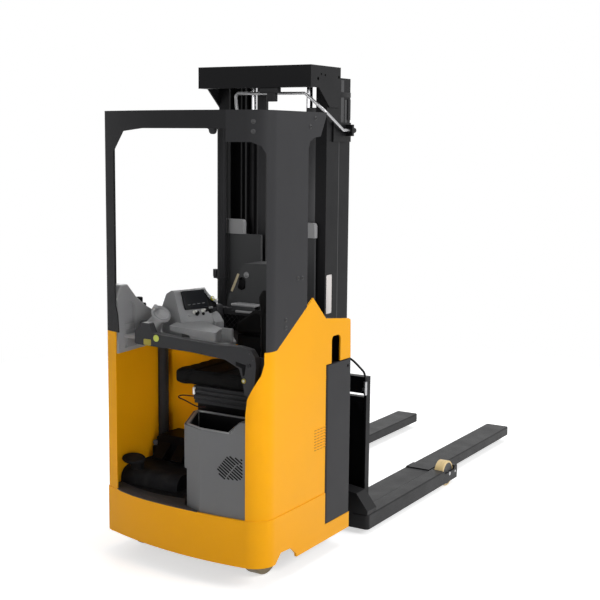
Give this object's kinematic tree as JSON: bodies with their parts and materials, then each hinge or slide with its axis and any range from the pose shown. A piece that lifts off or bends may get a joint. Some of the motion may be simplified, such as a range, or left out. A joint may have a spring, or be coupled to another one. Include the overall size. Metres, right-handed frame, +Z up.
{
  "type": "pallet stacker",
  "caption": "Sit-on straddle pallet stacker: yellow cab with overhead guard, two-stage mast, long forks, load wheels in straddle legs",
  "frame": {"origin": "on the floor under the middle of the machine", "axes": "+Y to the fork tips, +Z up, +X to the side with the closed guard panel"},
  "size_m": [1.072, 3.335, 2.49],
  "materials": {
    "body_yellow": "satin powder coat",
    "frame_black": "satin black paint",
    "mast_black": "satin black paint",
    "door_grey": "satin dark grey paint",
    "moulding_grey": "fine-grain grey moulding",
    "moulding_dark": "fine-grain dark moulding",
    "screen": "gloss black",
    "mat_rubber": "ribbed rubber",
    "seat_vinyl": "soft matt black vinyl",
    "steel": "bright steel",
    "chromed": "polished rod",
    "iron": "cast surface",
    "cell_block": "moulded block",
    "load_tread": "cream polyurethane",
    "drive_tread": "olive-brown polyurethane",
    "caster_tread": "dark brown polyurethane"
  },
  "bodies": {
    "chassis": {"chassis_frame": "frame_black", "lower_skirt": "body_yellow", "right_wall": "body_yellow", "left_wall": "body_yellow", "cab_bulkhead": "body_yellow", "battery_doors": "door_grey", "battery": "cell_block", "hood": "moulding_dark", "hood_console": "moulding_grey", "floor_mat": "mat_rubber", "motor_cover": "moulding_grey", "drive_motor": "iron", "seat_base": "frame_black", "seat_cushion": "seat_vinyl", "seat_back": "seat_vinyl", "armrest": "seat_vinyl", "arm_bracket": "frame_black", "dash_moulding": "moulding_grey", "dash_pod": "moulding_grey", "display": "screen", "console_arm": "moulding_grey", "grab_pole": "moulding_grey", "pedal_box": "moulding_dark", "guard_rear": "frame_black", "guard_side": "door_grey", "guard_roof": "frame_black", "guard_front_post": "frame_black", "post_box": "moulding_dark", "post_cable": "moulding_dark", "outer_mast": "mast_black", "mast_beam": "mast_black", "lift_cylinders": "mast_black", "cable_duct": "moulding_dark", "mast_covers": "moulding_dark", "cover_caps": "moulding_grey", "hydraulic_pipe": "steel", "straddle_base": "frame_black", "load_axles": "steel"},
    "inner_mast_stage": {"inner_mast": "mast_black", "lift_rods": "chromed", "inner_rollers": "steel"},
    "carriage": {"fork_carriage": "mast_black", "carriage_rollers": "steel", "hose_fittings": "steel", "carriage_hose": "mat_rubber", "forks": "frame_black"},
    "load_wheel_right": {"load_tyre_right": "load_tread", "load_hub_right": "iron"},
    "load_wheel_left": {"load_tyre_left": "load_tread", "load_hub_left": "iron"},
    "drive_unit": {"drive_yoke": "iron"},
    "drive_wheel": {"drive_tyre": "drive_tread", "drive_hub": "iron"},
    "caster_swivel": {"caster_fork": "iron"},
    "caster_wheel_pair": {"caster_wheels": "caster_tread"},
    "steering": {"steering_wheel": "moulding_dark"},
    "entry_arm": {"safety_arm": "moulding_dark"}
  },
  "joints": [
    {"name": "mast_lift", "type": "slide", "parent": "chassis", "child": "inner_mast_stage", "axis": [0, 0, 1], "range_m": [0, 1.6]},
    {"name": "carriage_lift", "type": "slide", "parent": "inner_mast_stage", "child": "carriage", "axis": [0, 0, 1], "range_m": [0, 1.6]},
    {"name": "load_wheel_right_spin", "type": "hinge", "parent": "chassis", "child": "load_wheel_right", "pos_m": [0.491, 0.4325, 0.078], "axis": [1, 0, 0], "continuous": true},
    {"name": "load_wheel_left_spin", "type": "hinge", "parent": "chassis", "child": "load_wheel_left", "pos_m": [-0.491, 0.4325, 0.078], "axis": [1, 0, 0], "continuous": true},
    {"name": "drive_steer", "type": "hinge", "parent": "chassis", "child": "drive_unit", "pos_m": [0.34, -1.4075, 0.25], "axis": [0, 0, 1], "range_deg": [-90, 90]},
    {"name": "drive_wheel_spin", "type": "hinge", "parent": "drive_unit", "child": "drive_wheel", "pos_m": [0.34, -1.4075, 0.115], "axis": [1, 0, 0], "continuous": true},
    {"name": "caster_turn", "type": "hinge", "parent": "chassis", "child": "caster_swivel", "pos_m": [-0.384, -1.4125, 0.2], "axis": [0, 0, 1], "continuous": true},
    {"name": "caster_wheel_spin", "type": "hinge", "parent": "caster_swivel", "child": "caster_wheel_pair", "pos_m": [-0.384, -1.3825, 0.068], "axis": [1, 0, 0], "continuous": true},
    {"name": "steering_turn", "type": "hinge", "parent": "chassis", "child": "steering", "pos_m": [-0.242, -1.4455, 1.244], "axis": [0.6592, -0.2197, 0.7191], "continuous": true},
    {"name": "entry_arm_swing", "type": "hinge", "parent": "chassis", "child": "entry_arm", "pos_m": [0.396, -1.5845, 1.076], "axis": [0, 1, 0], "range_deg": [0, 80]}
  ],
  "couplings": [
    {"joint": "carriage_lift", "follows": "mast_lift", "ratio": 1}
  ]
}
